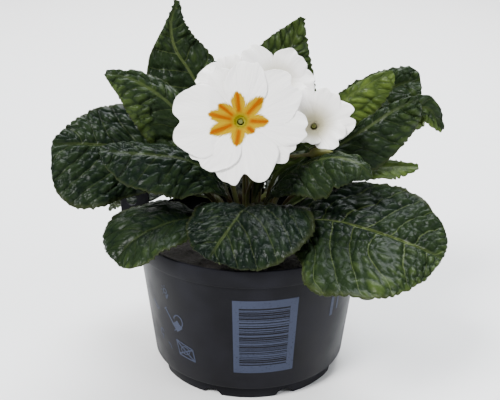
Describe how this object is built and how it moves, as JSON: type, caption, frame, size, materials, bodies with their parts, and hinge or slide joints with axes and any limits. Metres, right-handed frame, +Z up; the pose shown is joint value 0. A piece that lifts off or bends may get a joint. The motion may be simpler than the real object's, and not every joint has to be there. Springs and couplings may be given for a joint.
{
  "type": "potted primrose",
  "caption": "Potted primrose: a rosette of puckered oval leaves round white flowers with a yellow star eye, in a round black nursery pot.",
  "frame": {"origin": "middle of the plant's footprint, on the surface that the pot's feet stand on", "axes": "+Z up along the pot's axis, -Y towards the front, where the largest flower faces, +X to the right"},
  "size_m": [0.1702, 0.1475, 0.1613],
  "materials": {
    "pot": "satin",
    "soil": "matte",
    "crown": "matte",
    "leaf": "satin",
    "petal": "matte",
    "stalk": "satin"
  },
  "bodies": {
    "root": {"bud": "stalk", "crown": "crown", "flower_back_left_petals": "petal", "flower_back_left_stalk": "stalk", "flower_back_right_petals": "petal", "flower_back_right_stalk": "stalk", "flower_front_petals": "petal", "flower_front_stalk": "stalk", "flower_right_petals": "petal", "flower_right_stalk": "stalk", "leaf_back": "leaf", "leaf_back_left": "leaf", "leaf_back_right": "leaf", "leaf_front": "leaf", "leaf_front_left": "leaf", "leaf_front_right": "leaf", "leaf_left": "leaf", "leaf_left_inner": "leaf", "leaf_left_upper": "leaf", "leaf_rear": "leaf", "leaf_rear_left": "leaf", "leaf_rear_right": "leaf", "leaf_right": "leaf", "leaf_right_back": "leaf", "leaf_right_inner": "leaf", "leaf_right_light": "leaf", "leaf_right_lower": "leaf", "leaf_right_tip": "leaf", "leaf_young": "leaf", "pot": "pot", "soil": "soil"}
  },
  "joints": []
}
